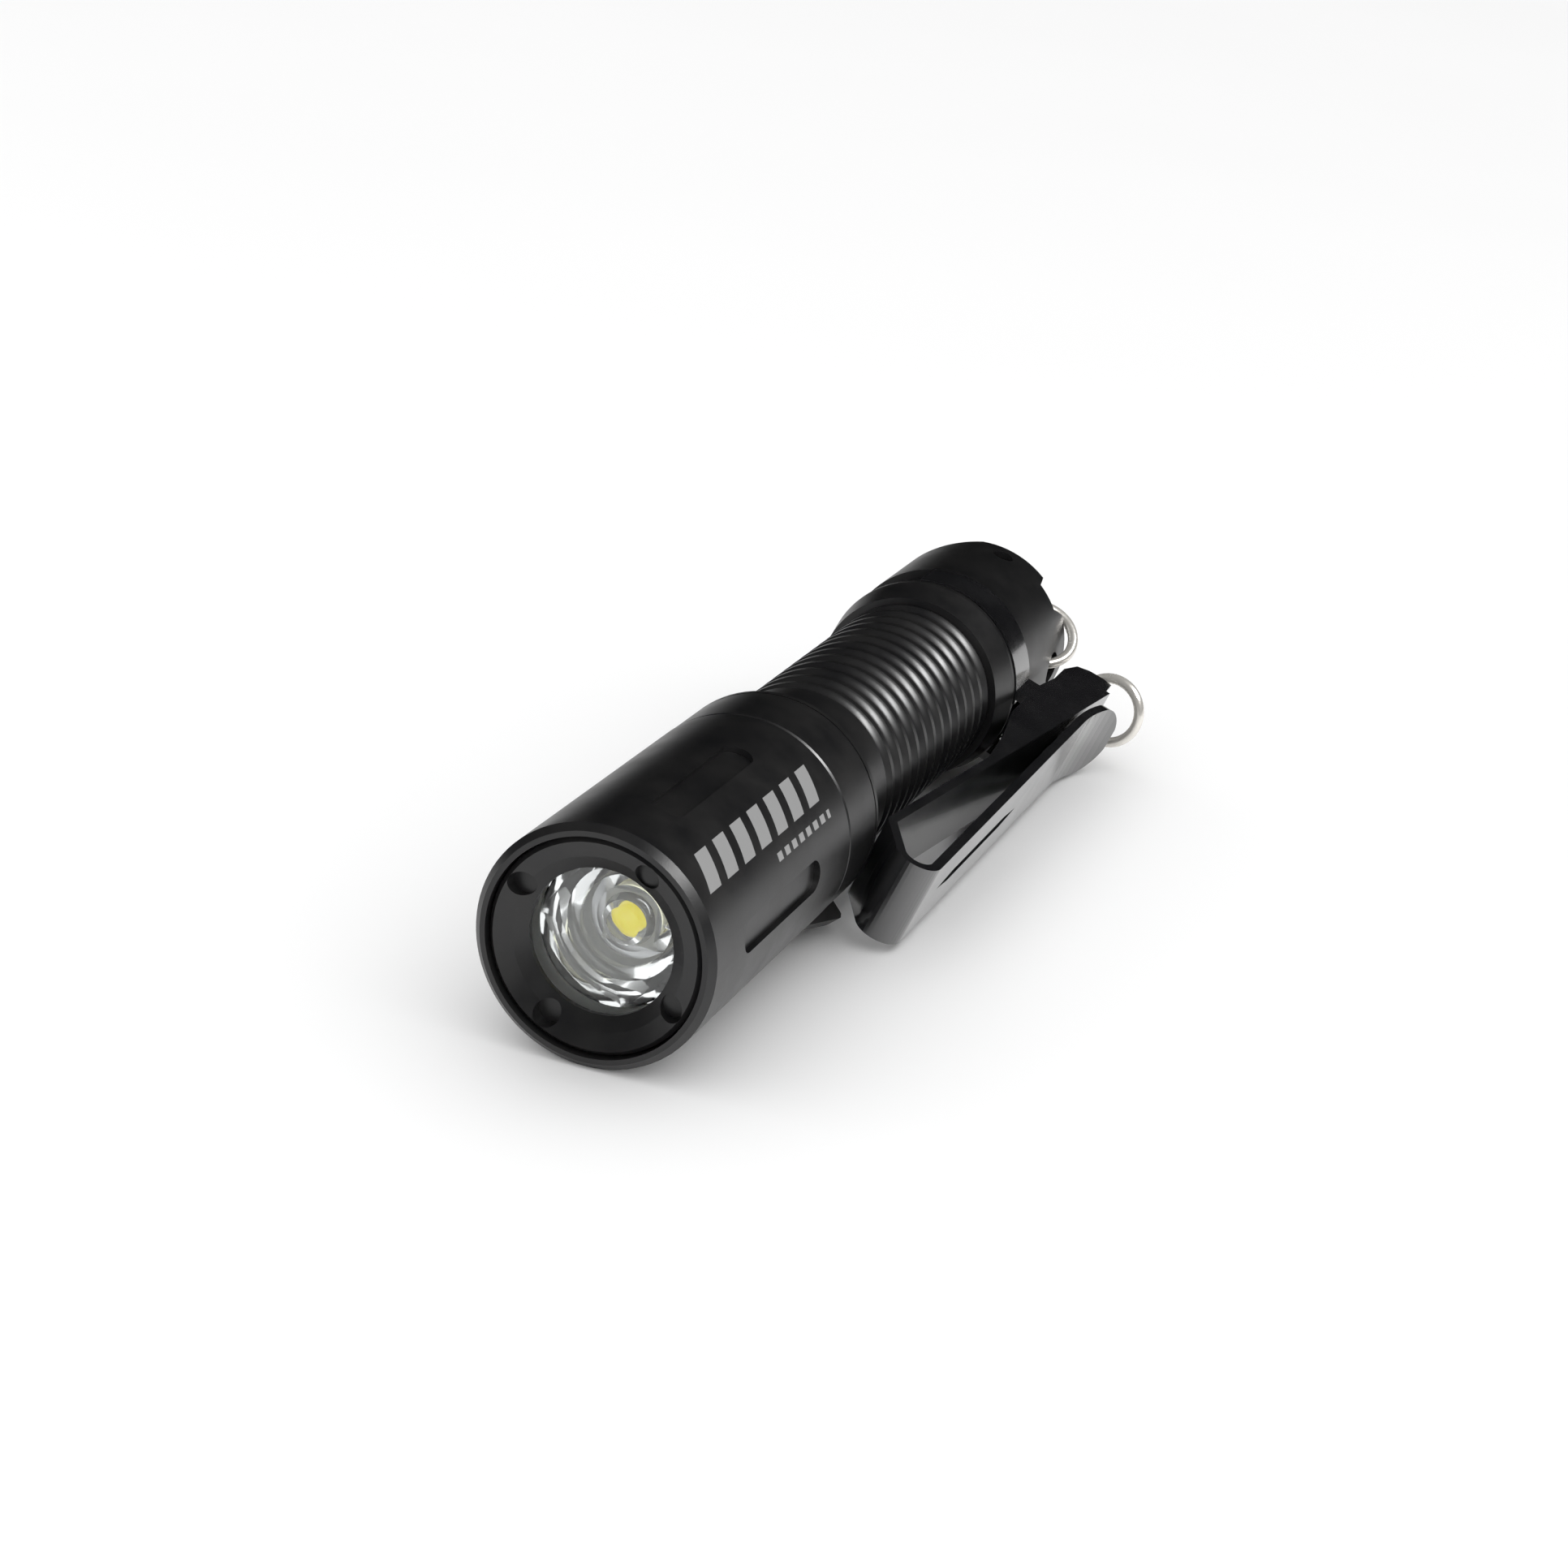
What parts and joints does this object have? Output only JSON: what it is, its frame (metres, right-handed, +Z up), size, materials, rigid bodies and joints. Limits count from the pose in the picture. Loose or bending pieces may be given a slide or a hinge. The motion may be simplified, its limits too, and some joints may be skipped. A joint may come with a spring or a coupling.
{
  "type": "keychain flashlight",
  "caption": "Small aluminium torch with a ribbed grip, a two-way pocket clip, an open rear crown and two wire rings.",
  "frame": {"origin": "on the floor under the middle of the bounding box, the torch lying on its side", "axes": "+Y along the torch's axis from the front rim to the tail, +Z up, +X towards the clip's side"},
  "size_m": [0.0234, 0.0794, 0.016],
  "materials": {
    "head_shell": "satin black anodised",
    "retaining_ring": "satin black anodised",
    "front_glass": "polished",
    "front_o_ring": "smooth",
    "optic": "moulded clear",
    "optic_holder": "matte white",
    "led_dome": "clear",
    "led_chip": "yellow phosphor",
    "led_base": "white ceramic",
    "led_board": "plain",
    "led_pill": "turned",
    "driver_board": "solder mask",
    "driver_parts": "moulded",
    "board_spacer": "turned",
    "head_core": "satin black anodised",
    "core_o_ring": "smooth",
    "charge_board": "solder mask",
    "charge_socket": "plated",
    "socket_tongue": "moulded",
    "port_sleeve": "satin black anodised",
    "contact_pin": "gold plated",
    "contact_insulator": "moulded",
    "body_tube": "satin black anodised",
    "body_o_ring": "smooth",
    "cell_can": "plated",
    "cell_cap": "plated",
    "cell_washer": "paper",
    "cell_wrapper": "shrink film",
    "tail_cap": "satin black anodised",
    "tail_o_ring": "smooth",
    "contact_disc": "gold plated",
    "tail_spring": "gold plated",
    "pocket_clip": "glossy black",
    "lanyard_ring": "polished",
    "key_ring": "polished"
  },
  "bodies": {
    "torch": {"body_tube": "body_tube", "body_o_ring": "body_o_ring", "cell_can": "cell_can", "cell_cap": "cell_cap", "cell_washer": "cell_washer", "cell_wrapper": "cell_wrapper", "tail_cap": "tail_cap", "tail_o_ring": "tail_o_ring", "contact_disc": "contact_disc", "tail_spring": "tail_spring", "pocket_clip": "pocket_clip"},
    "head": {"head_shell": "head_shell", "retaining_ring": "retaining_ring", "front_glass": "front_glass", "front_o_ring": "front_o_ring", "optic": "optic", "optic_holder": "optic_holder", "led_dome": "led_dome", "led_chip": "led_chip", "led_base": "led_base", "led_board": "led_board", "led_pill": "led_pill", "driver_board": "driver_board", "driver_parts": "driver_parts", "board_spacer": "board_spacer", "head_core": "head_core", "core_o_ring": "core_o_ring", "charge_board": "charge_board", "charge_socket": "charge_socket", "socket_tongue": "socket_tongue", "contact_pin": "contact_pin", "contact_insulator": "contact_insulator"},
    "port_sleeve": {"port_sleeve": "port_sleeve"},
    "lanyard_ring": {"lanyard_ring": "lanyard_ring"},
    "key_ring": {"key_ring": "key_ring"}
  },
  "joints": [
    {"name": "head_twist", "type": "hinge", "parent": "torch", "child": "head", "pos_m": [-0.00374, 0, 0.008], "axis": [0, 1, 0], "range_deg": [0, 90]},
    {"name": "port_sleeve_turn", "type": "hinge", "parent": "head", "child": "port_sleeve", "pos_m": [-0.00374, 0, 0.008], "axis": [0, 1, 0], "range_deg": [0, 64]},
    {"name": "lanyard_ring_swing", "type": "hinge", "parent": "torch", "child": "lanyard_ring", "pos_m": [0.00322, 0.03497, 0.00767], "axis": [-0.8594, -0.5097, 0.041], "range_deg": [0, 84]},
    {"name": "key_ring_swing", "type": "hinge", "parent": "torch", "child": "key_ring", "pos_m": [0.00664, 0.0371, 0.00271], "axis": [0.5817, -0.197, -0.7892], "range_deg": [-60, 3]}
  ]
}
